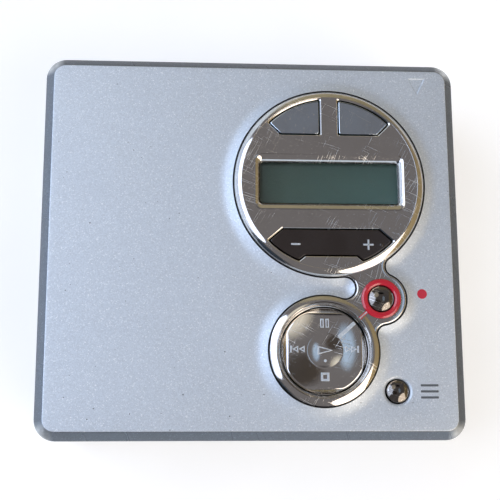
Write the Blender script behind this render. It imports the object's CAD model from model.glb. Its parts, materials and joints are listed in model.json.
import json
import math

import bmesh
import bpy
import numpy as np
from mathutils.geometry import delaunay_2d_cdt
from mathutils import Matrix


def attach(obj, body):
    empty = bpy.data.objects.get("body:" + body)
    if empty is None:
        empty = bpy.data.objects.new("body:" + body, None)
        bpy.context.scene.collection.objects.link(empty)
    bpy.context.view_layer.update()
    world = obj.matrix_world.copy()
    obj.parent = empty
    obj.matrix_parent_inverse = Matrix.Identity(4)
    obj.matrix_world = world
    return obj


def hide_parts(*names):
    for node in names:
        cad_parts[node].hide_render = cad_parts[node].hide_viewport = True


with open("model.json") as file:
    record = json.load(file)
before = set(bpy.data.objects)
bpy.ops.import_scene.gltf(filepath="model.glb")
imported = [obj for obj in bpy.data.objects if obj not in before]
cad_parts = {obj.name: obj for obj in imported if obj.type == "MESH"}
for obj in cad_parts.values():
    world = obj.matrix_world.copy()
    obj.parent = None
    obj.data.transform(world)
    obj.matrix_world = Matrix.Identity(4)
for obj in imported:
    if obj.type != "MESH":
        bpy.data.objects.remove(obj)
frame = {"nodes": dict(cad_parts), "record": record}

bl_info = {
    "name": "Portable Disc Recorder",
    "version": (1, 0, 0),
    "blender": (4, 5, 0),
    "location": "View3D > Sidebar > Recorder",
    "description": "Builds the looks of a pocket disc recorder over its packed parts",
    "category": "Add Mesh",
}

MM = 0.001

# Case and lid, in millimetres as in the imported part
CASE_W = 81.0
CASE_D = 74.4
CASE_R = 4.0
WALL = 1.2
LID_Z = 18.0
LID_SEAM = 24.0
PANEL_IN = 25.0
LID_TOP = 26.2
BEVEL = 1.55
BEVEL_W = 1.72

# Mirror plate: heights, and centres and radii of its three lobes
PLATE_GAP = 0.24
PLATE_Z = 25.6
NECK_Z = 27.2
FACE_Z = 27.86
RIM_TOP = 27.89
DISC, DISC_R, RIM_R = (15.0, 12.0), 18.55, 17.15
RING, RING_R, WELL_R = (13.46, -20.6), 10.4, 8.54
REC, LOBE_R = (24.45, -10.7), 4.9
NOTCH_R = 2.25
NECK_R = 2.0

# Keys and buttons
KEY_TOP = 27.78
KEY_GAP = 0.18
KEY_ARC_R = 16.6
MENU = (27.3, -28.13)

# Edges that turn by more than this are drawn sharp
SHARP = math.radians(38)

# Quarter turn that stands a board of the stage upright
UPRIGHT = math.pi / 2


def hex_colour(text, alpha=1.0):
    """Linear colour from an sRGB hex string."""
    parts = [int(text[i : i + 2], 16) / 255 for i in (1, 3, 5)]
    linear = [c / 12.92 if c <= 0.04045 else ((c + 0.055) / 1.055) ** 2.4 for c in parts]
    return (*linear, alpha)


class RecorderLook(bpy.types.PropertyGroup):
    """Sizes and colours of the recorder that a user may change."""

    lid_round: bpy.props.FloatProperty(
        name="Lid edge rounding",
        description="Radius of the two edges of the bevel round the lid",
        default=0.0005,
        unit="LENGTH",
    )
    flare_width: bpy.props.FloatProperty(
        name="Flare width",
        description="Width of the curved rise of the lid round the plate",
        default=0.0026,
        unit="LENGTH",
    )
    flare_height: bpy.props.FloatProperty(
        name="Flare height",
        description="Height of the curved rise of the lid round the plate",
        default=0.0007,
        unit="LENGTH",
    )
    key_round: bpy.props.FloatProperty(
        name="Key edge rounding",
        description="Radius of the upper edges of the keys",
        default=0.0002,
        unit="LENGTH",
    )
    control_crown: bpy.props.FloatProperty(
        name="Control key crown",
        description="Radius of the gentle dome of the control key",
        default=0.045,
        unit="LENGTH",
    )
    case_round: bpy.props.FloatProperty(
        name="Case edge rounding",
        description="Radius of the small edges of the case",
        default=0.00015,
        unit="LENGTH",
    )
    lid_colour: bpy.props.FloatVectorProperty(
        name="Lid paint",
        description="Colour of the silver paint of the lid",
        subtype="COLOR",
        size=3,
        default=hex_colour("#cdd5dd")[:3],
    )
    band_colour: bpy.props.FloatVectorProperty(
        name="Band paint",
        description="Colour of the paint of the side band",
        subtype="COLOR",
        size=3,
        default=hex_colour("#70757b")[:3],
    )
    case_colour: bpy.props.FloatVectorProperty(
        name="Case plastic",
        description="Colour of the moulded underside",
        subtype="COLOR",
        size=3,
        default=hex_colour("#8f949b")[:3],
    )
    plate_colour: bpy.props.FloatVectorProperty(
        name="Plate chrome",
        description="Colour of the mirror plate",
        subtype="COLOR",
        size=3,
        default=hex_colour("#d9d6d2")[:3],
    )
    accent_colour: bpy.props.FloatVectorProperty(
        name="Record accent",
        description="Colour of the record ring",
        subtype="COLOR",
        size=3,
        default=hex_colour("#b9162b")[:3],
    )


# Outlines, as lists of points in millimetres


def arc(c, r, a, b, n):
    """Points on an arc from angle a to b, in degrees."""
    steps = [math.radians(a + (b - a) * i / n) for i in range(n + 1)]
    return [(c[0] + r * math.cos(t), c[1] + r * math.sin(t)) for t in steps]


def circle(c, r, n=96):
    """Closed circle."""
    return arc(c, r, 0, 360, n)[:-1]


def rounded(w, d, r, n=10, c=(0, 0)):
    """Closed rounded rectangle."""
    out = []
    for i, (sx, sy) in enumerate(((1, 1), (-1, 1), (-1, -1), (1, -1))):
        centre = (c[0] + sx * (w / 2 - r), c[1] + sy * (d / 2 - r))
        out += arc(centre, r, 90 * i, 90 * i + 90, n)
    return out


def block(x, y, w, h):
    """Closed rectangle about a middle point."""
    return [(x + sx * w / 2, y + sy * h / 2) for sx, sy in ((-1, -1), (1, -1), (1, 1), (-1, 1))]


def fillet(points, r, n=4, closed=True):
    """The same outline or profile with its corners rounded."""
    # A rounding takes under half of a side, and corners that are nearly straight stay
    side_share, straight = 0.48, math.radians(82)
    out = []
    count = len(points)
    for i, p in enumerate(points):
        if not closed and i in (0, count - 1):
            out.append(p)
            continue
        p = np.array(p, float)
        a = np.array(points[i - 1], float) - p
        b = np.array(points[(i + 1) % count], float) - p
        la, lb = np.linalg.norm(a), np.linalg.norm(b)
        a, b = a / la, b / lb
        half = math.acos(max(-1.0, min(1.0, float(a @ b)))) / 2
        if half > straight:
            out.append(tuple(p))
            continue
        reach = min(r / math.tan(half), side_share * la, side_share * lb)
        start, end = p + a * reach, p + b * reach
        for k in range(n + 1):
            t = k / n
            q = start * (1 - t) ** 2 + p * 2 * t * (1 - t) + end * t * t
            out.append(tuple(q))
    return out


def inset(points, d):
    """Outline moved inwards by d, for outlines that run anticlockwise."""
    mitre_limit = 0.3
    p = np.array(points)
    before = p - np.roll(p, 1, 0)
    after = np.roll(p, -1, 0) - p
    n1 = np.stack([-before[:, 1], before[:, 0]], 1)
    n2 = np.stack([-after[:, 1], after[:, 0]], 1)
    n1 /= np.linalg.norm(n1, axis=1)[:, None]
    n2 /= np.linalg.norm(n2, axis=1)[:, None]
    mid = n1 + n2
    mid /= np.maximum((mid * n1).sum(1), mitre_limit)[:, None]
    return [tuple(q) for q in p + d * mid]


def touch(c1, r1, c2, r2, f):
    """Centre of the circle of radius f that touches two circles from outside."""
    c1, c2 = np.array(c1), np.array(c2)
    d = np.linalg.norm(c2 - c1)
    u = (c2 - c1) / d
    a = ((r1 + f) ** 2 - (r2 + f) ** 2 + d * d) / (2 * d)
    return c1 + a * u + math.sqrt((r1 + f) ** 2 - a * a) * np.array([-u[1], u[0]])


def turn(c, r, p, q, sign, n):
    """Arc about c from the side of p to the side of q, anticlockwise for sign 1."""
    a = math.degrees(math.atan2(p[1] - c[1], p[0] - c[0]))
    b = math.degrees(math.atan2(q[1] - c[1], q[0] - c[0]))
    return arc(c, r, a, a + sign * ((sign * (b - a)) % 360), n)


def case_outline(o):
    """Outline of the case, inset by o."""
    return rounded(CASE_W - 2 * o, CASE_D - 2 * o, CASE_R - o)


def plate_outline(grow):
    """Three joined lobes with concave fillets between them, grown by grow."""
    notch = touch(DISC, DISC_R, RING, RING_R, NOTCH_R)
    upper = touch(DISC, DISC_R, REC, LOBE_R, NECK_R)
    lower = touch(REC, LOBE_R, RING, RING_R, NECK_R)
    out = turn(DISC, DISC_R + grow, upper, notch, 1, 120)[:-1]
    out += turn(notch, NOTCH_R - grow, DISC, RING, -1, 24)[:-1]
    out += turn(RING, RING_R + grow, notch, lower, 1, 90)[:-1]
    out += turn(lower, NECK_R - grow, RING, REC, -1, 20)[:-1]
    out += turn(REC, LOBE_R + grow, lower, upper, 1, 40)[:-1]
    return out + turn(upper, NECK_R - grow, REC, DISC, -1, 20)[:-1]


def upper_key_outline(grow, side=1):
    """Upper key on the right for side 1 and on the left for -1, grown by grow."""
    inner, outer, low = 1.9, 9.5, 9.6
    chamfer_end, inner_end = 45.24, 83.43
    points = [(inner, low), (outer, low)]
    points += arc((0, 0), KEY_ARC_R, chamfer_end, inner_end, 14)
    key = fillet(inset(points, -grow), 0.45)
    return at(key if side > 0 else [(-x, y) for x, y in reversed(key)], DISC)


def volume_outline(grow):
    """Volume key with the notch in its lower edge, grown by grow."""
    notch, top = (5.0, -14.45), (9.25, -9.4)
    notch_end, top_end = 291.9, 315.46
    right = [notch, *arc((0, 0), KEY_ARC_R, notch_end, top_end, 9), top]
    left = [(-x, y) for x, y in reversed(right)]
    return at(fillet(inset(right + left, -grow), 0.3), DISC)


def at(points, c):
    """Outline moved to the centre c."""
    return [(x + c[0], y + c[1]) for x, y in points]


KEYS = {
    "right_key": upper_key_outline,
    "left_key": lambda grow: upper_key_outline(grow, -1),
    "volume_key": volume_outline,
}

# Measures on outlines


def distance_to(points, loop):
    """Distance of each point from a closed outline."""
    chunk_size = 1500
    a = np.array(loop)
    ab = np.roll(a, -1, 0) - a
    out = []
    for chunk in np.array_split(np.array(points, float), max(1, len(points) // chunk_size)):
        p = chunk[:, None, :]
        t = np.clip(((p - a) * ab).sum(2) / (ab * ab).sum(1), 0, 1)
        out.append(np.sqrt(((a + t[..., None] * ab - p) ** 2).sum(2)).min(1))
    return np.concatenate(out)


def inside(points, loop):
    """Which of the points lie inside a closed outline."""
    p = np.array(points, float)
    a = np.array(loop)
    b = np.roll(a, -1, 0)
    x, y = p[:, :1], p[:, 1:]
    cross = (a[:, 1] > y) != (b[:, 1] > y)
    with np.errstate(divide="ignore", invalid="ignore"):
        at_x = (b[:, 0] - a[:, 0]) * (y - a[:, 1]) / (b[:, 1] - a[:, 1]) + a[:, 0]
    return (cross & (x < at_x)).sum(1) % 2 == 1


class Solid:
    """Collects the loops and faces of one piece, in millimetres."""

    def __init__(self):
        self.points = []
        self.faces = []

    def loop(self, outline, z):
        """Adds a closed loop at the height z, or at one height per point."""
        first = len(self.points)
        heights = z if hasattr(z, "__len__") else [z] * len(outline)
        self.points += [(x, y, h) for (x, y), h in zip(outline, heights)]
        return list(range(first, len(self.points)))

    def wall(self, a, b):
        """Joins two loops of the same length."""
        n = len(a)
        for i in range(n):
            j = (i + 1) % n
            self.faces.append((a[i], a[j], b[j], b[i]))

    def sweep(self, outline_at, profile):
        """Walls along a profile of (offset, height); gives the first and last loop."""
        loops = [self.loop(outline_at(o), z) for o, z in profile]
        for a, b in zip(loops, loops[1:]):
            self.wall(a, b)
        return loops[0], loops[-1]

    def lathe(self, c, profile, n=128):
        """Ring turned about the centre c from a closed profile of (radius, height)."""
        loops = [self.loop(circle(c, r, n), z) for r, z in profile]
        for a, b in zip(loops, loops[1:] + loops[:1]):
            self.wall(a, b)

    def cap(self, outer, holes=(), extra=()):
        """Fills a loop, less its holes, through the extra points."""
        loops = [outer, *holes]
        ids = [i for lp in loops for i in lp] + list(extra)
        place = {v: k for k, v in enumerate(ids)}
        flat = [self.points[i][:2] for i in ids]
        edges = []
        for lp in loops:
            edges += [(place[a], place[b]) for a, b in zip(lp, lp[1:] + lp[:1])]
        _, _, faces, back, _, _ = delaunay_2d_cdt(flat, edges, [], 0, 1e-6)
        tris = [tuple(ids[back[k][0]] for k in f) for f in faces]
        mids = [np.mean([self.points[i][:2] for i in t], 0) for t in tris]
        keep = inside(mids, [self.points[i][:2] for i in outer])
        for hole in holes:
            keep &= ~inside(mids, [self.points[i][:2] for i in hole])
        self.faces += [t for t, k in zip(tris, keep) if k]

    def fan(self, loop, z):
        """Closes a loop to a point over its middle."""
        x, y = np.mean([self.points[i][:2] for i in loop], 0)
        self.points.append((x, y, z))
        tip = len(self.points) - 1
        self.faces += [(a, b, tip) for a, b in zip(loop, loop[1:] + loop[:1])]

    def carry(self, other, place):
        """Takes in the faces of another solid, with its points moved by place."""
        first = len(self.points)
        self.points += [place(*p) for p in other.points]
        self.faces += [tuple(i + first for i in face) for face in other.faces]

    def prism(self, outline, z0, z1, r):
        """Closed block with a rounded upper edge, from an outline or a function of the inset."""
        outline_at = outline if callable(outline) else lambda o: inset(outline, o)
        profile = [(0, z0)] + fillet([(0, z0 + 0.01), (0, z1), (1.6 * r, z1)], r, 4, False)
        low, high = self.sweep(outline_at, profile)
        self.cap(low)
        self.cap(high)

    def build(self, name, material, body, nodes=()):
        """Makes the object, smooth but for its sharp edges, and hangs it on its body."""
        mesh = bpy.data.meshes.new(name)
        mesh.from_pydata([[c * MM for c in p] for p in self.points], [], self.faces)
        bm = bmesh.new()
        bm.from_mesh(mesh)
        bmesh.ops.remove_doubles(bm, verts=bm.verts, dist=1e-7)
        bmesh.ops.recalc_face_normals(bm, faces=bm.faces)
        bm.to_mesh(mesh)
        bm.free()
        mesh.shade_smooth()
        mesh.set_sharp_from_angle(angle=SHARP)
        obj = bpy.data.objects.new(name, mesh)
        bpy.context.scene.collection.objects.link(obj)
        mesh.materials.append(material)
        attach(obj, body)
        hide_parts(*nodes)
        return obj


# Materials


def add(mat, kind, values=(), out=0, **settings):
    """Adds a shader node with its settings, sets or links its inputs and gives one output."""
    node = mat.node_tree.nodes.new("ShaderNode" + kind)
    for key, value in settings.items():
        setattr(node, key, value)
    for key, value in values.items() if isinstance(values, dict) else enumerate(values):
        if isinstance(value, bpy.types.NodeSocket):
            mat.node_tree.links.new(value, node.inputs[key])
        else:
            node.inputs[key].default_value = value
    return node.outputs[out] if node.outputs else node


def blank(name):
    """Empty node material."""
    mat = bpy.data.materials.new(name)
    mat.use_nodes = True
    mat.node_tree.nodes.clear()
    return mat


def tinted(colour, share, lift=0.0):
    """The colour made paler or deeper by a share."""
    return (*[min(1.0, c * share + lift) for c in colour[:3]], 1.0)


def blotches(mat, size, low, high, detail=3.0, edges=(0.3, 0.7)):
    """Soft uneven patches about size millimetres wide, from low to high."""
    where = add(mat, "TexCoord", out="Object")
    cloud = add(mat, "TexNoise", {"Vector": where, "Scale": 1 / (size * MM), "Detail": detail})
    return add(mat, "MapRange", (cloud, *edges, low, high))


def hairlines(mat, angle, length, width, share):
    """Thin, gently bent scratches along one angle."""
    # Real scratches are about 0.02 mm wide; these are coarse enough to show
    where = add(mat, "TexCoord", out="Object")
    bend_size, bend_reach = 11 * MM, 3 * MM
    bend = add(mat, "TexNoise", {"Vector": where, "Scale": 1 / bend_size, "Detail": 0.0}, "Color")
    swing = add(mat, "VectorMath", {0: bend, "Scale": bend_reach}, operation="SCALE")
    bent = add(mat, "VectorMath", (where, swing))
    turned = add(mat, "VectorRotate", {"Vector": bent, "Angle": math.radians(angle)})
    scale = [1 / (s * MM) for s in (length, width, length)]
    place = add(mat, "Mapping", {"Vector": turned, "Scale": scale})
    streaks = add(mat, "TexNoise", {"Vector": place, "Scale": 1.0, "Detail": 0.0})
    return add(mat, "MapRange", (streaks, 0.82 - share * 0.2, 0.86 - share * 0.2, 0.0, 1.0))


def worn_edges(mat, radius):
    """1 near convex and concave edges, 0 on the faces."""
    soft = add(mat, "Bevel", {"Radius": radius * MM}, samples=4)
    hard = add(mat, "NewGeometry", out="Normal")
    turned = add(mat, "VectorMath", (soft, hard), "Value", operation="DOT_PRODUCT")
    return add(mat, "MapRange", (turned, 0.8, 0.995, 1.0, 0.0))


def rubbed_corners(mat, share):
    """Uneven patches on the upright corners of the case, where the lacquer has worn through."""
    where = add(mat, "TexCoord", out="Object")
    patch = blotches(mat, 1.6, 0.4 * share, share, 2.0)
    start, full = 3.7, 2.0
    for axis, reach in enumerate((CASE_W / 2, CASE_D / 2)):
        away = add(mat, "Math", (add(mat, "SeparateXYZ", (where,), axis),), operation="ABSOLUTE")
        near = add(mat, "MapRange", (away, (reach - start) * MM, (reach - full) * MM, 0.0, 1.0))
        patch = add(mat, "Math", (patch, near), operation="MULTIPLY")
    return patch


def display_ends(mat, share):
    """Rises to share at the left and right ends of the display, which hands rub most."""
    x = add(mat, "SeparateXYZ", (add(mat, "TexCoord", out="Object"),))
    off = add(mat, "Math", (x, DISC[0] * MM), operation="SUBTRACT")
    away = add(mat, "Math", (off,), operation="ABSOLUTE")
    start, full = 12 * MM, 15.5 * MM
    return add(mat, "MapRange", (away, start, full, 0.0, share))


def silver_paint(name, colour, metallic, rough, corners):
    """Sprayed aluminium lacquer: satin, with fine flakes, a few glints, and edges rubbed pale."""
    mat = blank(name)
    where = add(mat, "TexCoord", out="Object")
    # Real flakes are about 0.03 mm wide; these are coarse enough to show
    cells = add(mat, "TexVoronoi", {"Vector": where, "Scale": 1 / (0.17 * MM)}, "Color")
    flake = add(mat, "SeparateColor", (cells,))
    deep = tinted(colour, 0.89)
    flaked = add(mat, "Mix", {0: flake, 6: deep, 7: tinted(colour, 1.1)}, 2, data_type="RGBA")
    cloud = {0: blotches(mat, 14, 0.0, 0.25), 6: flaked, 7: deep}
    cloudy = add(mat, "Mix", cloud, 2, data_type="RGBA")
    glint = add(mat, "MapRange", (flake, 0.93, 0.97, 0.0, 0.4))
    lit = add(mat, "Mix", {0: glint, 6: cloudy, 7: tinted(colour, 1.7)}, 2, data_type="RGBA")
    wear = (worn_edges(mat, 0.25), blotches(mat, 3, 0.1, 0.55))
    rubbed = add(mat, "Math", wear, operation="MULTIPLY")
    if corners:
        rubbed = add(mat, "Math", (rubbed, rubbed_corners(mat, corners)), operation="MAXIMUM")
    edged = add(mat, "Mix", {0: rubbed, 6: lit, 7: hex_colour("#e3e6e6")}, 2, data_type="RGBA")
    specks = blotches(mat, 0.5, 0.0, 1.0, 0.5, (0.825, 0.85))
    dusty = add(mat, "Mix", {0: specks, 6: edged, 7: hex_colour("#50545a")}, 2, data_type="RGBA")
    lines = add(mat, "Math", (hairlines(mat, 64, 9, 0.12, 0.2), 0.1), operation="MULTIPLY")
    gloss = blotches(mat, 14, rough - 0.04, rough + 0.05)
    satin = add(mat, "Math", (gloss, lines), operation="SUBTRACT")
    bump = add(mat, "Bump", {"Strength": 0.12, "Distance": 0.02 * MM, "Height": flake})
    values = {"Base Color": dusty, "Metallic": metallic, "Roughness": satin, "Normal": bump}
    shader = add(mat, "BsdfPrincipled", values | {"Coat Weight": 0.15, "Coat Roughness": 0.25})
    add(mat, "OutputMaterial", (shader,))
    return mat


def chrome(name, colour, rough, scratch):
    """Plated mirror: sharp reflections broken by hairline scratches and a haze of handling."""
    mat = blank(name)
    lines = (hairlines(mat, 24, 7, 0.1, 0.45), hairlines(mat, 118, 5, 0.08, 0.42))
    crossed = add(mat, "Math", lines, operation="MAXIMUM")
    worn = blotches(mat, 7, 0.1 * scratch, scratch, 1.0, (0.45, 0.62))
    worn = add(mat, "Math", (worn, display_ends(mat, scratch)), operation="MAXIMUM")
    scored = add(mat, "Math", (crossed, worn), operation="MULTIPLY")
    dust = blotches(mat, 0.45, 0.0, 0.45, 1.0, (0.66, 0.74))
    scored = add(mat, "Math", (scored, dust), operation="MAXIMUM")
    haze = blotches(mat, 5, 0.0, 1.0, 4.0, (0.45, 0.75))
    thin = add(mat, "Math", (haze, 0.3), operation="MULTIPLY")
    hazed = {0: thin, 6: tinted(colour, 1.0), 7: hex_colour("#b9b4ae")}
    base = add(mat, "Mix", hazed, 2, data_type="RGBA")
    lit = add(mat, "Mix", {0: scored, 6: base, 7: hex_colour("#f4f2ee")}, 2, data_type="RGBA")
    dull = add(mat, "MapRange", (haze, 0.0, 1.0, rough, rough + 0.06))
    rough_now = add(mat, "Math", (scored, 0.35, dull), operation="MULTIPLY_ADD")
    swell = blotches(mat, 9, 0.3, 0.7, 1.0)
    wave = add(mat, "Math", (scored, -0.5, swell), operation="MULTIPLY_ADD")
    bump = add(mat, "Bump", {"Strength": 0.25, "Distance": 0.02 * MM, "Height": wave})
    values = {"Base Color": lit, "Metallic": 1.0, "Roughness": rough_now, "Normal": bump}
    add(mat, "OutputMaterial", (add(mat, "BsdfPrincipled", values),))
    return mat


def plastic(name, colour, rough, grain, coat):
    """Moulded plastic: grain of its mould, uneven gloss from fingers, and paler rubbed edges."""
    mat = blank(name)
    cloud = {0: blotches(mat, 9, 0.0, 0.6), 6: tinted(colour, 1.0), 7: tinted(colour, 1.15, 0.01)}
    tone = add(mat, "Mix", cloud, 2, data_type="RGBA")
    wear = (worn_edges(mat, 0.2), blotches(mat, 2, 0.0, 0.35, 2.0))
    rubbed = add(mat, "Math", wear, operation="MULTIPLY")
    edged = add(mat, "Mix", {0: rubbed, 6: tone, 7: tinted(colour, 1.6, 0.04)}, 2, data_type="RGBA")
    height = blotches(mat, grain, 0.3, 0.7)
    bump = add(mat, "Bump", {"Strength": 0.3, "Distance": 0.03 * MM, "Height": height})
    gloss = blotches(mat, 9, rough - 0.06, rough + 0.08)
    values = {"Base Color": edged, "Roughness": gloss, "Normal": bump}
    shader = add(mat, "BsdfPrincipled", values | {"Coat Weight": coat, "Coat Roughness": 0.05})
    add(mat, "OutputMaterial", (shader,))
    return mat


def metal(name, colour, rough, stretch, line):
    """Bare metal: drawn or rolled lines along one way, with a dull bloom in places."""
    mat = blank(name)
    where = add(mat, "TexCoord", out="Object")
    # Real drawing lines are about 0.02 mm apart; these are coarse enough to show
    scale = [1 / (line * MM * s) for s in stretch]
    place = add(mat, "Mapping", {"Vector": where, "Scale": scale})
    grain = add(mat, "TexNoise", {"Vector": place, "Scale": 1.0, "Detail": 2.0})
    bloom = {0: blotches(mat, 6, 0.0, 0.5), 6: tinted(colour, 1.0), 7: tinted(colour, 0.72)}
    tone = add(mat, "Mix", bloom, 2, data_type="RGBA")
    lined = add(mat, "MapRange", (grain, 0.3, 0.7, rough - 0.05, rough + 0.08))
    rough_now = add(mat, "Math", (lined, blotches(mat, 6, 0.0, 0.08)))
    bump = add(mat, "Bump", {"Strength": 0.2, "Distance": 0.02 * MM, "Height": grain})
    values = {"Base Color": tone, "Metallic": 1.0, "Roughness": rough_now, "Normal": bump}
    add(mat, "OutputMaterial", (add(mat, "BsdfPrincipled", values),))
    return mat


def clear_window(name, tint):
    """Clear acrylic: a thin gloss over what lies under it, with a few hairlines."""
    mat = blank(name)
    lines = hairlines(mat, 35, 6, 0.1, 0.2)
    dull = add(mat, "MapRange", (lines, 0.0, 1.0, 0.03, 0.3))
    gloss = add(mat, "BsdfGlossy", {"Color": hex_colour("#ffffff"), "Roughness": dull})
    through = add(mat, "BsdfTransparent", {"Color": tint})
    edge = add(mat, "Fresnel", {"IOR": 1.49})
    share = add(mat, "Math", (lines, 0.15, edge), operation="MULTIPLY_ADD")
    add(mat, "OutputMaterial", (add(mat, "MixShader", (share, through, gloss)),))
    return mat


def display_cell(name):
    """Switched-off display: mottled grey-green reflector, shaded by its frame left and above."""
    mat = blank(name)
    where = add(mat, "TexCoord", out="Object")
    x = add(mat, "SeparateXYZ", (where,))
    half_w, half_h, shade_w = 13.5, 4.1, 5.5 * MM
    left, right = (DISC[0] - half_w) * MM, (DISC[0] + half_w) * MM
    low, high = (DISC[1] - half_h) * MM, (DISC[1] + half_h) * MM
    across = add(mat, "MapRange", (x, left, right, 0.0, 1.0))
    ends = {0: across, 6: hex_colour("#6d7b70"), 7: hex_colour("#729391")}
    side = add(mat, "Mix", ends, 2, data_type="RGBA")
    shade = add(mat, "MapRange", (x, left, left + shade_w, 0.7, 0.0))
    shaded = add(mat, "Mix", {0: shade, 6: side, 7: hex_colour("#3b4239")}, 2, data_type="RGBA")
    above = add(mat, "MapRange", (x.node.outputs[1], low, high, 0.0, 0.4))
    tone = add(mat, "Mix", {0: above, 6: shaded, 7: hex_colour("#4a5a54")}, 2, data_type="RGBA")
    # The dots of the cell are about 0.05 mm wide; the mottling is coarse enough to show
    dots = {0: blotches(mat, 0.3, 0.0, 0.2, 2.0), 6: tone, 7: hex_colour("#83958f")}
    mottled = add(mat, "Mix", dots, 2, data_type="RGBA")
    height = blotches(mat, 0.15, 0.3, 0.7, 1.0)
    bump = add(mat, "Bump", {"Strength": 0.15, "Distance": 0.02 * MM, "Height": height})
    shader = add(mat, "BsdfPrincipled", {"Base Color": mottled, "Roughness": 0.35, "Normal": bump})
    add(mat, "OutputMaterial", (shader,))
    return mat


def circuit(name):
    """Solder-masked fibreglass: dark green, with raised copper tracks that show as paler lines."""
    mat = blank(name)
    where = add(mat, "TexCoord", out="Object")
    bricks = {"Vector": where, "Scale": 1 / (9 * MM), "Mortar Size": 0.03}
    tracks = add(mat, "TexBrick", bricks, "Fac")
    lines = {0: tracks, 6: hex_colour("#0d2416"), 7: hex_colour("#20482f")}
    tone = add(mat, "Mix", lines, 2, data_type="RGBA")
    bump = add(mat, "Bump", {"Strength": 0.4, "Distance": 0.04 * MM, "Height": tracks})
    values = {"Base Color": tone, "Roughness": blotches(mat, 4, 0.25, 0.45, 2.0), "Normal": bump}
    add(mat, "OutputMaterial", (add(mat, "BsdfPrincipled", values),))
    return mat


def material(finish):
    """The material of one finish: a slot of the record, or the bluish plating of the upper keys."""
    look = bpy.context.scene.recorder_look
    finishes = {
        "lid_paint": (silver_paint, "sprayed silver lacquer", look.lid_colour, 0.6, 0.48, 0.0),
        "band_paint": (silver_paint, "sprayed grey lacquer", look.band_colour, 0.7, 0.3, 0.8),
        "case_plastic": (plastic, "spark-grained ABS", look.case_colour, 0.5, 0.25, 0.0),
        "plate_chrome": (chrome, "polished plated chrome", look.plate_colour, 0.05, 1.0),
        "dark_chrome": (chrome, "smoked plated chrome", hex_colour("#7d7873"), 0.05, 0.5),
        "upper_key_chrome": (chrome, "bluish plated chrome", hex_colour("#d6e4f2"), 0.05, 0.5),
        "key_gloss": (plastic, "polished brown-black ABS", hex_colour("#241d1a"), 0.16, 2.0, 0.5),
        "red_gloss": (plastic, "polished red acrylic", look.accent_colour, 0.12, 1.5, 1.0),
        "window": (clear_window, "polished clear acrylic", hex_colour("#f7fcfa")),
        "lcd": (display_cell, "liquid crystal cell"),
        "board": (circuit, "solder-masked fibreglass"),
        "black_plastic": (plastic, "moulded black ABS", hex_colour("#232427"), 0.42, 0.3, 0.0),
        "grey_plastic": (plastic, "moulded dark grey ABS", hex_colour("#55585d"), 0.45, 0.3, 0.0),
        "steel": (metal, "drawn steel", hex_colour("#c4c7ca"), 0.25, (12, 1, 1), 0.12),
        "sheet_metal": (metal, "rolled steel sheet", hex_colour("#bfc2c5"), 0.33, (1, 14, 1), 0.12),
        "screw_steel": (metal, "zinc-plated steel", hex_colour("#b5b7ba"), 0.22, (1, 1, 1), 0.2),
        "rubber": (plastic, "moulded black rubber", hex_colour("#1b1c1d"), 0.75, 0.4, 0.0),
        "brass": (metal, "turned brass", hex_colour("#d0b060"), 0.24, (10, 1, 1), 0.12),
        "nylon": (plastic, "moulded ivory nylon", hex_colour("#d9d3c3"), 0.45, 0.4, 0.0),
        "lens_glass": (plastic, "coated lens glass", hex_colour("#5a4a8c"), 0.12, 1.0, 1.0),
    }
    maker, name, *values = finishes[finish]
    return bpy.data.materials.get(name) or maker(name, *values)


def finish_nodes(names, round_mm):
    """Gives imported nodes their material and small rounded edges."""
    slots = {s["node"]: s["material_slot"] for s in frame["record"]["subparts"]}
    for name in names:
        obj = frame["nodes"][name]
        for i in range(len(obj.material_slots)):
            obj.material_slots[i].link = "OBJECT"
            obj.material_slots[i].material = material(slots[name])
        if round_mm:
            flat = obj.modifiers.new("Flat faces", "DECIMATE")
            flat.decimate_type = "DISSOLVE"
            flat.angle_limit = math.radians(1)
            edge = obj.modifiers.new("Rounded edges", "BEVEL")
            edge.width = round_mm * MM
            edge.segments = 2
            edge.limit_method = "ANGLE"
            edge.angle_limit = math.radians(50)
            edge.harden_normals = False
            obj.modifiers.new("Even shading", "WEIGHTED_NORMAL").keep_sharp = True


class PieceOperator:
    """What the operators of the recorder share."""

    bl_options = {"REGISTER", "UNDO"}


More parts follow.
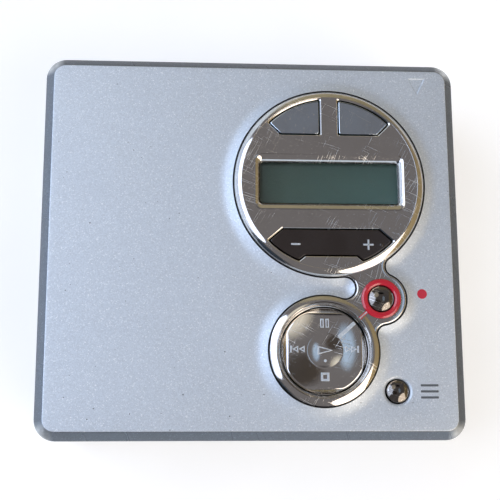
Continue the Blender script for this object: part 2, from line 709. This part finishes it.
class RECORDER_OT_lid(PieceOperator, bpy.types.Operator):
    """Build the lid: bevelled top with its flare and disc mark, side walls and signs"""

    bl_idname = "recorder.lid"
    bl_label = "Lid"

    def execute(self, context):
        self.top(context.scene.recorder_look)
        self.walls(context)
        self.signs()
        return {"FINISHED"}

    def top(self, look):
        """Top panel: bevel, flare round the plate, menu dimple and disc mark."""
        lid = Solid()
        flat_start = 2.7
        bevel = [(0, LID_SEAM), (0, LID_TOP - BEVEL), (BEVEL_W, LID_TOP), (flat_start, LID_TOP)]
        side, rim = lid.sweep(case_outline, fillet(bevel, look.lid_round / MM, 6, False))
        lip, under = self.opening(lid, look)

        # Radii and depths of the dimple round the menu button
        dimple = [(2.95, 0.0), (2.75, 0.03), (2.5, 0.2), (2.38, 0.3), (2.38, LID_TOP - PANEL_IN)]
        dimple = [(r, LID_TOP - depth) for r, depth in dimple]
        hole, hole_low = lid.sweep(lambda r: circle(MENU, r, 64), dimple)
        mark = self.disc_mark(lid)

        spots = self.flare_spots(look)
        first = len(lid.points)
        lid.points += [(*p, z) for p, z in zip(spots, self.flare_heights(spots, look))]
        lid.cap(rim, [lip, hole, mark], range(first, len(lid.points)))

        ceiling, inner = lid.sweep(lambda o: case_outline(WALL), [(0, PANEL_IN), (0, LID_SEAM)])
        lid.cap(ceiling, [under, hole_low])
        lid.wall(inner, side)
        obj = lid.build("lid_top", material("lid_paint"), "lid", ["top_panel"])
        self.paint_edges(obj.data)

    def rise(self, points, look):
        """Height of the lid at each point, with the flare that curves up to the plate."""
        away = distance_to(points, plate_outline(PLATE_GAP))
        share = np.clip(1 - away / (look.flare_width / MM), 0, 1)
        return LID_TOP + look.flare_height / MM * share**2

    def opening(self, lid, look):
        """Rounded lip, shelf and hole under the plate; gives the upper and the lowest loop."""
        chain = []
        rounding = ((0.1, 0.0), (0.04, 0.01), (0.01, 0.04), (0.0, 0.1))
        for grow, drop in rounding:
            outline = plate_outline(PLATE_GAP + grow)
            chain.append(lid.loop(outline, list(self.rise(outline, look) - drop)))
        shelf_w = 1.0
        for grow, z in ((PLATE_GAP, PLATE_Z), (-shelf_w, PLATE_Z), (-shelf_w, PANEL_IN)):
            chain.append(lid.loop(plate_outline(grow), z))
        for a, b in zip(chain, chain[1:]):
            lid.wall(a, b)
        return chain[0], chain[-1]

    def disc_mark(self, lid):
        """Sunk triangle that shows which way the disc goes in; gives its outer loop."""
        tip, half, rear = (33.0, 30.45), 1.75, 34.0
        corners = [(tip[0] - half, rear), tip, (tip[0] + half, rear)]
        depth, margin = 0.17, 0.05
        # The flat margins keep the shading of the sides off the lid and off the floor
        floor_z = LID_TOP - depth
        sides = [(-margin, LID_TOP), (0, LID_TOP), (depth, floor_z), (depth + margin, floor_z)]
        mark, floor = lid.sweep(lambda o: fillet(inset(corners, o), 0.1), sides)
        lid.cap(floor)
        return mark

    def flare_spots(self, look):
        """Points that carry the flare, in rows along the lip and then in an even net."""
        edge = plate_outline(PLATE_GAP)
        spots = []
        # Where the edge turns inwards, points that come too near another stretch of it are left out
        clear_share = 0.97
        for grow in (0.3, 0.55, 0.85, 1.2):
            outline = plate_outline(PLATE_GAP + grow)
            away = distance_to(outline, edge)
            spots += [p for p, d in zip(outline[::2], away[::2]) if d > grow * clear_share]
        step, net_start, net_end = 0.55, 1.4, look.flare_width / MM + 0.6
        bevel_inside, menu_clear = 2.9, 3.3
        # Columns and rows of a net of triangles that reaches past the plate on all sides
        columns, rows, row_share = range(-20, 72), range(-76, 74), 0.87
        net = [(x * step + (y % 2) * step / 2, y * step * row_share) for x in columns for y in rows]
        away = distance_to(net, edge)
        keep = ~inside(net, edge) & inside(net, case_outline(bevel_inside))
        keep &= (away > net_start) & (away < net_end)
        return spots + [p for p, k in zip(net, keep) if k and math.dist(p, MENU) > menu_clear]

    def flare_heights(self, spots, look):
        """Heights of the flare, evened out where two stretches of it meet in a crease."""
        reach, fade = 0.5, 0.6
        heights = self.rise(spots, look)
        near = [self.rise(at(spots, shift), look) for shift in circle((0, 0), reach, 8)]
        blend = np.clip((distance_to(spots, plate_outline(PLATE_GAP)) - reach) / fade, 0, 1)
        return heights * (1 - blend) + np.mean([heights, *near], 0) * blend

    def paint_edges(self, mesh):
        """Gives the bevel its darker paint, and shows the bare moulding in the gap of the plate."""
        for finish in ("band_paint", "black_plastic"):
            mesh.materials.append(material(finish))
        mids = [tuple(c / MM for c in face.center[:2]) for face in mesh.polygons]
        margin = 0.03
        gap = inside(mids, plate_outline(PLATE_GAP + margin))
        for face, away, bare in zip(mesh.polygons, distance_to(mids, case_outline(0)), gap):
            face.material_index = 2 if bare else int(away < BEVEL_W)

    def walls(self, context):
        """Side walls, cut away over the hinge at the front and at the mouth for the disc."""
        walls = Solid()
        profile = [(0.12, LID_Z), (0.035, LID_Z + 0.035), (0, LID_Z + 0.12), (0, LID_SEAM)]
        profile += [(WALL, LID_SEAM), (WALL, LID_Z)]
        first_loop, last_loop = walls.sweep(case_outline, profile)
        walls.wall(last_loop, first_loop)
        obj = walls.build("lid_walls", material("band_paint"), "lid")
        far, hinge_y, hinge_z, mouth_x, mouth_z = 50, -32.0, 19.16, 36.4, 22.8
        cutters = [
            self.cutter((-far, -far, 0), (far, hinge_y, hinge_z)),
            self.cutter((-mouth_x, 0, 0), (mouth_x, far, mouth_z)),
        ]
        for tool in cutters:
            cut = obj.modifiers.new("Cut", "BOOLEAN")
            cut.operation = "DIFFERENCE"
            cut.solver = "EXACT"
            cut.object = tool
        context.view_layer.update()
        done = obj.evaluated_get(context.evaluated_depsgraph_get())
        cut_mesh = bpy.data.meshes.new_from_object(done)
        obj.modifiers.clear()
        obj.data = cut_mesh
        obj.data.set_sharp_from_angle(angle=SHARP)
        for tool in cutters:
            bpy.data.objects.remove(tool)

    def cutter(self, low, high):
        """Box that cuts the walls."""
        mesh = bpy.data.meshes.new("cutter")
        bm = bmesh.new()
        bmesh.ops.create_cube(bm, size=1.0)
        for v in bm.verts:
            v.co = [(a + b) / 2 * MM + c * (b - a) * MM for a, b, c in zip(low, high, v.co)]
        bm.to_mesh(mesh)
        bm.free()
        obj = bpy.data.objects.new("cutter", mesh)
        bpy.context.scene.collection.objects.link(obj)
        return obj

    def signs(self):
        """Record dot and menu bars beside their buttons."""
        low, high = LID_TOP - 0.05, LID_TOP + 0.06
        dot_c, dot_r = (32.6, -9.6), 0.95
        dot = Solid()
        dot.prism(circle(dot_c, dot_r, 40), low, high, 0.05)
        dot.build("record_sign", material("red_gloss"), "lid")
        bars = Solid()
        bar_x, bar_w, bar_h, pitch = 33.4, 3.4, 0.42, 1.13
        for row in (1, 0, -1):
            place = (bar_x, MENU[1] + row * pitch)
            bars.prism(rounded(bar_w, bar_h, 0.12, 3, place), low, high, 0.04)
        bars.build("menu_sign", material("grey_plastic"), "lid")


class RECORDER_OT_plate(PieceOperator, bpy.types.Operator):
    """Build the mirror plate: base with three lobes, display disc, window frame and control ring"""

    bl_idname = "recorder.plate"
    bl_label = "Display plate"

    def execute(self, context):
        plate = Solid()
        self.base(plate)
        self.display_disc(plate)
        self.control_ring(plate)
        plating = material("plate_chrome")
        plate.build("mirror_plate", plating, "lid", ["display_plate"])
        return {"FINISHED"}

    def base(self, plate):
        """Base of the plate, with its rounded edge and a well through each lobe."""
        edge_w, edge_r, rec_well_r = 0.9, 0.55, 3.85
        edge = fillet([(0, PLATE_Z), (0, NECK_Z), (edge_w, NECK_Z)], edge_r, 6, False)
        low, top = plate.sweep(lambda o: plate_outline(-o), edge)
        wells = [(DISC, RIM_R + 0.2, 96), (RING, WELL_R + 0.3, 72), (REC, rec_well_r, 64)]
        highs, lows = [], []
        for c, r, n in wells:
            high, bottom = plate.sweep(lambda o: circle(c, r, n), [(0, NECK_Z), (0, PLATE_Z)])
            highs.append(high)
            lows.append(bottom)
        plate.cap(top, highs)
        plate.cap(low, lows)

    def display_disc(self, plate):
        """Disc with a rolled rim and a flat face, open for the keys and the window."""
        back_z, skirt_r, skirt_top, face_r = 26.9, 18.42, 27.1, RIM_R - 0.07
        rolled = [(skirt_r, back_z), (skirt_r, skirt_top)]
        rolled += self.slope(skirt_r - 0.02, RIM_R, RIM_TOP, 14, 45)
        rolled += [(RIM_R - 0.02, RIM_TOP - 0.01), (RIM_R - 0.04, FACE_Z), (face_r, FACE_Z)]
        skirt, face = plate.sweep(lambda r: circle(DISC, r, 180), rolled)
        back = plate.loop(circle(DISC, face_r, 180), back_z)
        plate.wall(back, skirt)
        tops, bottoms = [], []
        chamfer = [(-0.25, FACE_Z), (-0.21, FACE_Z), (0, FACE_Z - 0.17), (0, back_z)]
        chamfer = fillet(chamfer, 0.05, 3, False)
        for key in KEYS.values():
            high, low = plate.sweep(lambda o: key(KEY_GAP - o), chamfer)
            tops.append(high)
            bottoms.append(low)
        high, low = self.window_frame(plate, back_z)
        plate.cap(face, [*tops, high])
        plate.cap(back, [*bottoms, low])

    def window_frame(self, plate, back_z):
        """Frame that curves down from the face to the window; gives its upper and its back loop."""
        wide, high, corner, slope_w, sill_z = 29.1, 11.0, 1.25, 1.1, 26.4
        # The frame is wider above and below than at its ends, and its inner corners are tighter
        upright, tighten = 2.67, 0.75
        steps, stride, first_tilt, more_tilt = 9, 0.124, 20, 5.5
        profile = [(-0.1, FACE_Z), (-0.02, FACE_Z)]
        for k in range(steps):
            x, z = profile[-1]
            tilt = math.radians(first_tilt + more_tilt * k)
            profile.append((x + stride, z - stride * math.tan(tilt)))
        profile += [(slope_w, sill_z)]

        def window_at(o):
            r = corner - tighten * max(0, o) / slope_w
            return rounded(wide - 2 * o, high - upright * o, r, 8, DISC)

        top, low = plate.sweep(window_at, profile)
        inner = window_at(0.3)
        sill = plate.loop(inner, sill_z)
        plate.wall(low, sill)
        back = plate.loop(inner, back_z)
        plate.wall(sill, back)
        return top, back

    def control_ring(self, plate):
        """Ring round the control key: curved slope outside, then a step down into the well."""
        crest_r, crest_z, skirt_r, skirt_z = 9.0, 27.82, 10.36, 26.8
        step_z, throat_r, throat_z, back_r = 27.55, 8.36, 25.7, 8.84
        step = [(8.94, crest_z), (8.8, step_z), (8.62, step_z), (WELL_R, 27.3)]
        throat = [(WELL_R, 27.1), (WELL_R - 0.02, 26.95)]
        throat += [(throat_r + 0.02, 26.85), (throat_r, 26.6)]
        ring = [(crest_r, skirt_z), (skirt_r, skirt_z), (skirt_r, 27.06)]
        ring += self.slope(skirt_r - 0.02, crest_r, crest_z, 10, 32)
        ring += fillet(step, 0.06, 3, False) + fillet(throat, 0.05, 3, False)
        ring += [(throat_r, throat_z), (back_r, throat_z), (back_r, 26.9)]
        plate.lathe(RING, ring, 160)

    def slope(self, outer, inner, top, shallow, steep):
        """Curve between two radii, from steep outside to shallow inside, in degrees."""
        steps = 10
        width = (outer - inner) / steps
        points = [(inner, top)]
        for k in range(steps):
            tilt = math.radians(shallow + (steep - shallow) * (k + 0.5) / steps)
            points.append((points[-1][0] + width, points[-1][1] - width * math.tan(tilt)))
        return points[::-1]


class RECORDER_OT_keys(PieceOperator, bpy.types.Operator):
    """Build the two upper keys and the volume key with its signs"""

    bl_idname = "recorder.keys"
    bl_label = "Keys"

    def execute(self, context):
        soft = context.scene.recorder_look.key_round / MM
        shrink, skirt = 0.08, 0.4
        for name, outline in KEYS.items():
            key = Solid()
            key.prism(lambda o: outline(-o - shrink), PLATE_Z - skirt, KEY_TOP, soft)
            if name == "volume_key":
                key.build(name + "_cap", material("key_gloss"), name, [name])
            else:
                plating = material("upper_key_chrome")
                key.build(name + "_cap", plating, name, [name])
        self.volume_signs()
        return {"FINISHED"}

    def volume_signs(self):
        """Minus, plus and a raised dot in one row."""
        y = DISC[1] - 12.35
        signs = Solid()
        for x, w, h in ((-6.8, 1.8, 0.32), (7.2, 2.0, 0.34), (7.2, 0.34, 2.0)):
            bar = rounded(w, h, 0.08, 3, (DISC[0] + x, y))
            signs.prism(bar, KEY_TOP - 0.05, KEY_TOP + 0.05, 0.03)
        signs.build("volume_signs", material("lid_paint"), "volume_key")
        dot = Solid()
        dot_c = (DISC[0] + 9.75, y)
        dome = [(0.42, KEY_TOP - 0.05), (0.36, KEY_TOP + 0.04), (0.22, KEY_TOP + 0.1)]
        low, top = dot.sweep(lambda r: circle(dot_c, r, 24), dome)
        dot.cap(low)
        dot.fan(top, KEY_TOP + 0.115)
        dot.build("volume_dot", material("key_gloss"), "volume_key")


class RECORDER_OT_buttons(PieceOperator, bpy.types.Operator):
    """Build the record ring with its stripe, the record button and the menu button"""

    bl_idname = "recorder.buttons"
    bl_label = "Round buttons"

    def execute(self, context):
        self.record_ring()
        self.dome("rec_button", REC, 2.4, PLATE_Z - 0.5, KEY_TOP, 5.2)
        self.dome("menu_button", MENU, 2.1, PANEL_IN - 0.3, LID_TOP + 0.5, 4.2)
        return {"FINISHED"}

    def record_ring(self):
        """Crowned red ring, and the pale stripe between two red lines that joins it."""
        ring = Solid()
        inner, outer, low, shoulder = 2.6, 3.8, NECK_Z - 0.7, NECK_Z + 0.1
        middle, top, bend = (inner + outer) / 2, NECK_Z + 0.4, 0.86
        tilts = [math.radians(t) for t in range(-42, 43, 7)]
        crown = [(inner, low), (inner, shoulder)]
        crown += [(middle + bend * math.sin(t), top - bend * (1 - math.cos(t))) for t in tilts]
        crown += [(outer, shoulder), (outer, low)]
        ring.lathe(REC, crown, 96)
        for shift in (-0.21, 0.21):
            self.strip(ring, shift, 0.08, 0.0)
        ring.build("record_ring", material("red_gloss"), "lid", ["rec_ring"])
        stripe = Solid()
        self.strip(stripe, 0.0, 0.14, 0.02)
        stripe.build("record_stripe", material("lid_paint"), "lid")

    def strip(self, solid, shift, half, lift):
        """Thin raised line over the plate, from the control ring to the record ring."""
        length = math.dist(REC, RING)
        u = (np.array(REC) - np.array(RING)) / length
        side = np.array([-u[1], u[0]])
        far, depth = length - 3.6, 0.3
        # Heights on the slope of the control ring, by the distance from its centre
        slope = ((8.97, 27.86), (9.4, 27.77), (9.9, 27.58), (10.33, 27.37))
        loops = []
        for away, z in (*slope, (10.42, 27.22), (far, 27.22)):
            p = np.array(RING) + u * away + side * shift
            left, right = tuple(p - side * half), tuple(p + side * half)
            heights = [z - depth, z + lift, z + lift, z - depth]
            loops.append(solid.loop([left, left, right, right], heights))
        for a, b in zip(loops, loops[1:]):
            solid.wall(a, b)
        solid.faces += [tuple(loops[0]), tuple(loops[-1])]

    def dome(self, name, c, r, low, high, bend):
        """Button of radius r with a softened edge and a top that bends to the radius bend."""
        steps = 12
        button = Solid()
        edge_z = high - bend + math.sqrt(bend * bend - (r - 0.12) ** 2)
        edge = [(r, low + 0.02), (r, edge_z), (r - 0.25, edge_z + 0.1)]
        profile = [(r, low)] + fillet(edge, 0.12, 4, False)[1:-1]
        for k in range(steps):
            q = (r - 0.14) * (1 - k / steps)
            profile.append((q, high - bend + math.sqrt(bend * bend - q * q)))
        base, tip = button.sweep(lambda q: circle(c, q, 72), profile)
        button.cap(base)
        button.fan(tip, high)
        button.build(name + "_cap", material("dark_chrome"), name, [name])


class RECORDER_OT_control(PieceOperator, bpy.types.Operator):
    """Build the round control key: crowned face, four flats, dish, pointer and signs"""

    bl_idname = "recorder.control"
    bl_label = "Control key"

    def execute(self, context):
        key = Solid()
        low = 26.25
        self.face(key, low)
        self.supports(key, low)
        plating = material("plate_chrome")
        key.build("control_face", plating, "control_cap", ["control_cap"])
        self.signs()
        return {"FINISHED"}

    def height(self, x, y):
        """Height of the face, from its centre: a crown, less flats, dish and round edge."""
        crown = bpy.context.scene.recorder_look.control_crown / MM
        top, edge_at, edge_r, edge_drop = 27.75, 7.75, 0.45, 0.5
        flat_at, flat_slope, flat_soft = 7.1, 0.7, 0.012
        dish_r, dish_depth, dish_soft, dish_lift = 3.35, 0.5, 0.0006, 0.0005
        r = math.hypot(x, y)
        z = top - r * r / (2 * crown)
        # Each square root eases one surface into the next
        flat = max(abs(x), abs(y)) - flat_at
        z -= flat_slope * 0.5 * (flat + math.sqrt(flat * flat + flat_soft))
        bowl = dish_depth * (1 - (r / dish_r) ** 2)
        z -= 0.5 * (bowl + math.sqrt(bowl * bowl + dish_soft)) - dish_lift
        edge = r - edge_at
        if edge > 0:
            z -= edge_drop * (1 - math.sqrt(max(0.0, 1 - (edge / edge_r) ** 2)))
        return z

    def face(self, key, low):
        """Face and side of the key, with closer rings where the face bends."""
        reach, around = 8.2, 216
        radii = []
        for start, end, count in ((0.25, 2.9, 12), (3.0, 3.7, 12), (3.9, 6.4, 10), (6.5, 7.7, 20)):
            radii += list(np.linspace(start, end, count))
        radii += [7.8, 7.9, 7.98, 8.05, 8.11, 8.15, 8.18, reach]
        loops = []
        for r in radii:
            outline = circle((0, 0), r, around)
            loops.append(key.loop(at(outline, RING), [self.height(x, y) for x, y in outline]))
        for a, b in zip(loops, loops[1:]):
            key.wall(a, b)
        key.fan(loops[0], self.height(0, 0))
        base = key.loop(circle(RING, reach, around), low)
        key.wall(loops[-1], base)
        key.cap(base)

    def supports(self, key, low):
        """Ears on the pins of the gimbal, and nubs over the switches."""
        pin_z, pin_r, ear_x, ear_w, ear_half = 25.5, 0.34, 4.9, 1.8, 0.5
        nub_away, nub_r, nub_low = 6.3, 0.6, 25.05
        for s in (-1, 1):
            ear = Solid()
            plate = block(0, (low + pin_z - 0.5) / 2, ear_w, low - pin_z + 0.6)
            sides = [ear.loop(plate, x) for x in (-ear_half, ear_half)]
            bores = [ear.loop(circle((0, pin_z), pin_r, 24), x) for x in (-ear_half, ear_half)]
            ear.wall(*sides)
            ear.wall(*bores)
            for side, bore in zip(sides, bores):
                ear.cap(side, [bore])
            key.carry(ear, lambda y, z, x: (RING[0] + s * ear_x + x, RING[1] + y, z))
        for place in circle(RING, nub_away, 4):
            key.prism(circle(place, nub_r, 24), nub_low, low + 0.05, 0.04)

    def signs(self):
        """Play, pause, stop and skip signs, the dot and the pointer, raised on the face."""
        marks = Solid()
        self.outlined(marks, [(-1.37, -0.75), (1.6, 0.07), (-1.37, 0.94)], 0.06, 0.26)
        self.raised(marks, circle((0.1, -1.9), 0.28, 20), 0)
        for x in (-0.45, 0.55):
            self.outlined(marks, block(x, 5.15, 0.62, 1.7), 0.05, 0.17)
        self.outlined(marks, block(0, -4.9, 1.6, 1.6), 0.1, 0.42)
        skip_y, half_w, half_h = 0.28, 0.55, 0.65
        for s in (-1, 1):
            for x in (4.35, 5.55):
                back, tip = s * (x - half_w), s * (x + half_w)
                arrow = [(back, skip_y - half_h), (tip, skip_y), (back, skip_y + half_h)]
                self.outlined(marks, arrow if s > 0 else arrow[::-1], 0.05, 0.2)
            self.raised(marks, block(s * 6.35, skip_y, 0.3, 1.3), 0.06)
        start, end, half = np.array((2.45, 2.3)), np.array((5.75, 5.25)), 0.35
        u = (end - start) / np.linalg.norm(end - start)
        w = half * np.array([-u[1], u[0]])
        pointer = [tuple(q) for q in (start - w, end - w, end + w, start + w)]
        self.raised(marks, pointer, 0.2, 0.2)
        marks.build("control_signs", material("lid_paint"), "control_cap")

    def raised(self, marks, points, r, lift=0.14):
        """Filled sign with corners of radius r, raised by lift."""
        z = self.height(*np.mean(points, 0))
        low, soft = z - 0.25, 0.06
        marks.prism(lambda o: at(fillet(inset(points, o), r), RING), low, z + lift, soft)

    def outlined(self, marks, points, r, width):
        """Sign drawn as a raised line of the given width along its outline."""
        z = self.height(*np.mean(points, 0))
        low, shoulder, top, soft = -0.3, 0.09, 0.14, 0.05
        rib = [(0, low), (0, shoulder), (soft, top)]
        rib += [(width - soft, top), (width, shoulder), (width, low)]
        loops = [marks.loop(at(fillet(inset(points, o), r), RING), z + h) for o, h in rib]
        for a, b in zip(loops, loops[1:] + loops[:1]):
            marks.wall(a, b)


class RECORDER_OT_display(PieceOperator, bpy.types.Operator):
    """Finish the display: clear window over the switched-off cell"""

    bl_idname = "recorder.display"
    bl_label = "Display"

    def execute(self, context):
        finish_nodes(["lcd_window", "lcd_module"], 0)
        return {"FINISHED"}


class RECORDER_OT_case(PieceOperator, bpy.types.Operator):
    """Finish the case: underside, side band, sliders, sockets, battery door and screws"""

    bl_idname = "recorder.case"
    bl_label = "Case"

    def execute(self, context):
        soft = context.scene.recorder_look.case_round / MM
        finish_nodes(["bottom_case", "mid_frame", "battery_door", "battery_tray"], soft)
        finish_nodes(["open_slider", "hold_slider", "latch_bar"], soft * 0.6)
        small = ["phones_jack", "line_jack", "dc_inlet", "case_screws", "hinge_pins"]
        finish_nodes([*small, "cell_contact"], soft * 0.5)
        finish_nodes(["cell_spring"], 0)
        return {"FINISHED"}


class RECORDER_OT_drive(PieceOperator, bpy.types.Operator):
    """Finish the drive and the boards: deck, motors, pickup, write head, holder and key board"""

    bl_idname = "recorder.drive"
    bl_label = "Drive and boards"

    def execute(self, context):
        soft = ["deck_plate", "disc_holder", "shaft_brackets", "head_arm", "write_head"]
        soft += ["pickup_sled", "spindle_motor", "turntable", "sled_motor"]
        soft += ["main_board", "board_chips"]
        finish_nodes(soft, 0.08)
        plain = ["deck_dampers", "deck_screws", "guide_shaft", "lead_screw", "screw_gear"]
        plain += ["motor_pinion", "objective_lens", "arm_pivot", "key_board", "key_domes"]
        plain += ["board_screws", "holder_screws", "rocker_rod", "control_stem", "control_gimbal"]
        finish_nodes(plain, 0)
        return {"FINISHED"}


class RECORDER_OT_stage(PieceOperator, bpy.types.Operator):
    """Set the floor, the backdrop, the reflection cards, the lamps and the camera"""

    bl_idname = "recorder.stage"
    bl_label = "Stage"

    def execute(self, context):
        scene = context.scene
        scene.view_settings.view_transform = "Standard"
        sheets, flags, cards = self.sheets(), self.flags(), self.cards()
        for obj in (*sheets, *cards, *flags):
            obj.visible_shadow = False
        for obj in (*cards, *flags):
            obj.visible_camera = False
        for obj in flags:
            obj.visible_diffuse = False
        lamps = [
            self.lamp("key_light", (-0.62, 0.12, 0.62), 1.05, 7.1, "#d3e3ff"),
            self.lamp("warm_light", (0.58, -0.48, 0.52), 0.9, 5.8, "#fff1e0"),
            self.lamp("under_light", (0, 0, -0.6), 0.5, 1.2, "#f4f4f4"),
        ]
        self.room(scene)
        camera = self.camera(scene)
        return {"FINISHED"}

    def sheets(self):
        """White floor, and four upright sheets round it."""
        paper = self.backdrop_paper("white backdrop paper", hex_colour("#c8c8c8"))
        reach, wide, high, below = 2, 4, 0.6, -0.0002
        sheets = [self.board("floor", (0, 0, below), (0, 0, 0), (wide, wide), paper)]
        for i in range(4):
            turned = i * UPRIGHT
            place = (-reach * math.sin(turned), reach * math.cos(turned), high / 2)
            tilt = (UPRIGHT, 0, turned)
            sheets.append(self.board(f"backdrop_{i}", place, tilt, (wide, high), paper))
        return sheets

    def flags(self):
        """Low dark strips that keep the white floor out of the rear and right edges of the lid."""
        paper = self.backdrop_paper("dark flag paper", hex_colour("#2b2823"))
        size = (0.24, 0.016)
        rear, right = (0, 0.122, size[1] / 2), (0.125, 0, size[1] / 2)
        return [
            self.board("rear_flag", rear, (UPRIGHT, 0, 0), size, paper),
            self.board("right_flag", right, (UPRIGHT, 0, -UPRIGHT), size, paper),
        ]

    def cards(self):
        """Tinted cards for the chrome and the bevels: place, turn, size, colour and glow."""
        left, right = (0, UPRIGHT, 0), (0, -UPRIGHT, 0)
        rear, rear_left = (UPRIGHT, 0, 0), (UPRIGHT, 0, 0.5)
        front, corner = (-UPRIGHT, 0, 0), (-UPRIGHT, 0, -UPRIGHT / 2)
        down = (math.pi, 0, 0)
        cards = []
        for name, place, turned, size, colour, glow in (
            ("left_card", (-0.7, 0.3, 0.5), left, (1.4, 1.5), "#ccdaf0", 0.42),
            ("left_low_card", (-0.5, 0.05, 0.06), left, (0.26, 0.9), "#c4d6ee", 1.1),
            ("right_card", (0.7, 0, 0.35), right, (1.0, 1.6), "#a5916a", 0.3),
            ("rear_card", (0.25, 0.75, 0.35), rear, (1.3, 1.0), "#a59b7e", 0.2),
            ("rear_left_card", (-0.45, 0.7, 0.2), rear_left, (0.7, 0.6), "#c9d3dc", 0.58),
            ("front_card", (0.2, -0.75, 0.12), front, (1.6, 0.46), "#a2adb8", 1.4),
            ("corner_card", (-0.5, -0.5, 0.3), corner, (0.7, 0.9), "#3a4450", 0.1),
            ("warm_panel", (-0.17, 0.42, 0.9), down, (0.48, 0.58), "#efe6d2", 0.42),
            ("blue_panel", (0.33, 0.1, 0.9), down, (0.21, 0.46), "#b4cdea", 0.44),
            ("dark_panel", (-0.06, -0.1, 0.88), down, (0.42, 0.36), "#5a524a", 0.0),
            ("shade_panel", (0.2, 0.5, 0.88), down, (0.5, 0.26), "#1d1b1a", 0.0),
        ):
            paper = self.card_paper(name, hex_colour(colour), glow, size)
            cards.append(self.board(name, place, turned, size, paper))
        return cards

    def room(self, scene):
        """Even grey light of a dim room."""
        world = bpy.data.worlds.new("dim room")
        scene.world = world
        world.use_nodes = True
        world.node_tree.nodes.clear()
        grey = add(world, "Background", {"Color": hex_colour("#7c797b"), "Strength": 1.0})
        add(world, "OutputWorld", (grey,))

    def camera(self, scene):
        """Camera above the lid, as the photograph was taken."""
        data = bpy.data.cameras.new("photo_camera")
        data.lens = 70.2
        data.sensor_width = 36
        data.clip_start = 0.005
        camera = bpy.data.objects.new("photo_camera", data)
        camera.location = (-0.011559, -0.036898, 0.209264)
        camera.rotation_euler = (0.192, -0.060, -0.003)
        scene.collection.objects.link(camera)
        scene.camera = camera
        return camera

    def board(self, name, place, turned, size, paper):
        """Flat board of a size in metres."""
        mesh = bpy.data.meshes.new(name)
        w, d = size[0] / 2, size[1] / 2
        mesh.from_pydata([(-w, -d, 0), (w, -d, 0), (w, d, 0), (-w, d, 0)], [], [(0, 1, 2, 3)])
        mesh.materials.append(paper)
        obj = bpy.data.objects.new(name, mesh)
        obj.location = place
        obj.rotation_euler = turned
        bpy.context.scene.collection.objects.link(obj)
        return obj

    def paper(self, mat, colour, glow):
        """Shader of matt paper with a faint grain, which glows by itself."""
        cloud = blotches(mat, 30, 0.0, 1.0, 2.0)
        grain = {0: cloud, 6: tinted(colour, 0.97), 7: tinted(colour, 1.0)}
        tone = add(mat, "Mix", grain, 2, data_type="RGBA")
        values = {"Base Color": tone, "Roughness": 0.9, "Specular IOR Level": 0.1}
        values |= {"Emission Color": tone, "Emission Strength": glow}
        return add(mat, "BsdfPrincipled", values)

    def backdrop_paper(self, name, colour):
        """Paper that glows to the eye, in metal and in glass, and is clear from behind."""
        mat = blank(name)
        eye = add(mat, "LightPath", out="Is Camera Ray")
        rays = eye.node.outputs
        for ray in ("Is Glossy Ray", "Is Transmission Ray"):
            eye = add(mat, "Math", (eye, rays[ray]), operation="MAXIMUM")
        behind = add(mat, "NewGeometry", out="Backfacing")
        clear = add(mat, "BsdfTransparent")
        shown = add(mat, "MixShader", (behind, self.paper(mat, colour, eye), clear))
        add(mat, "OutputMaterial", (shown,))
        return mat

    def card_paper(self, name, colour, glow, size):
        """Tinted card for reflections that fades out towards its edges."""
        mat = blank(name.replace("_", " ") + " paper")
        where = add(mat, "TexCoord", out="Object")
        place = add(mat, "Mapping", {"Vector": where, "Scale": (2 / size[0], 2 / size[1], 1)})
        ball = add(mat, "TexGradient", {"Vector": place}, "Fac", gradient_type="SPHERICAL")
        share = add(mat, "MapRange", (ball, 0.0, 0.45, 0.0, 1.0))
        clear = add(mat, "BsdfTransparent")
        shown = add(mat, "MixShader", (share, clear, self.paper(mat, colour, glow)))
        add(mat, "OutputMaterial", (shown,))
        return mat

    def lamp(self, name, place, size, power, colour):
        """Soft round lamp that faces the recorder."""
        data = bpy.data.lights.new(name, "AREA")
        data.shape = "DISK"
        data.size = size
        data.energy = power
        data.color = hex_colour(colour)[:3]
        obj = bpy.data.objects.new(name, data)
        obj.location = place
        toward = -obj.location.normalized()
        obj.rotation_euler = toward.to_track_quat("-Z", "Y").to_euler()
        bpy.context.scene.collection.objects.link(obj)
        return obj


class RECORDER_PT_panel(bpy.types.Panel):
    """Sizes, colours and builders of the recorder"""

    bl_idname = "RECORDER_PT_panel"
    bl_label = "Recorder"
    bl_space_type = "VIEW_3D"
    bl_region_type = "UI"
    bl_category = "Recorder"

    def draw(self, context):
        look = context.scene.recorder_look
        for name in look.__annotations__:
            self.layout.prop(look, name)
        for piece in OPERATORS:
            self.layout.operator(piece.bl_idname)


OPERATORS = (
    RECORDER_OT_lid,
    RECORDER_OT_plate,
    RECORDER_OT_keys,
    RECORDER_OT_buttons,
    RECORDER_OT_control,
    RECORDER_OT_display,
    RECORDER_OT_case,
    RECORDER_OT_drive,
    RECORDER_OT_stage,
)


def register():
    for item in (RecorderLook, *OPERATORS, RECORDER_PT_panel):
        bpy.utils.register_class(item)
    bpy.types.Scene.recorder_look = bpy.props.PointerProperty(type=RecorderLook)


def unregister():
    del bpy.types.Scene.recorder_look
    for item in reversed((RecorderLook, *OPERATORS, RECORDER_PT_panel)):
        bpy.utils.unregister_class(item)


def main():
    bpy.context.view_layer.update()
    register()
    bpy.ops.recorder.lid()
    bpy.ops.recorder.plate()
    bpy.ops.recorder.keys()
    bpy.ops.recorder.buttons()
    bpy.ops.recorder.control()
    bpy.ops.recorder.display()
    bpy.ops.recorder.case()
    bpy.ops.recorder.drive()
    bpy.ops.recorder.stage()


if __name__ == "__main__":
    main()
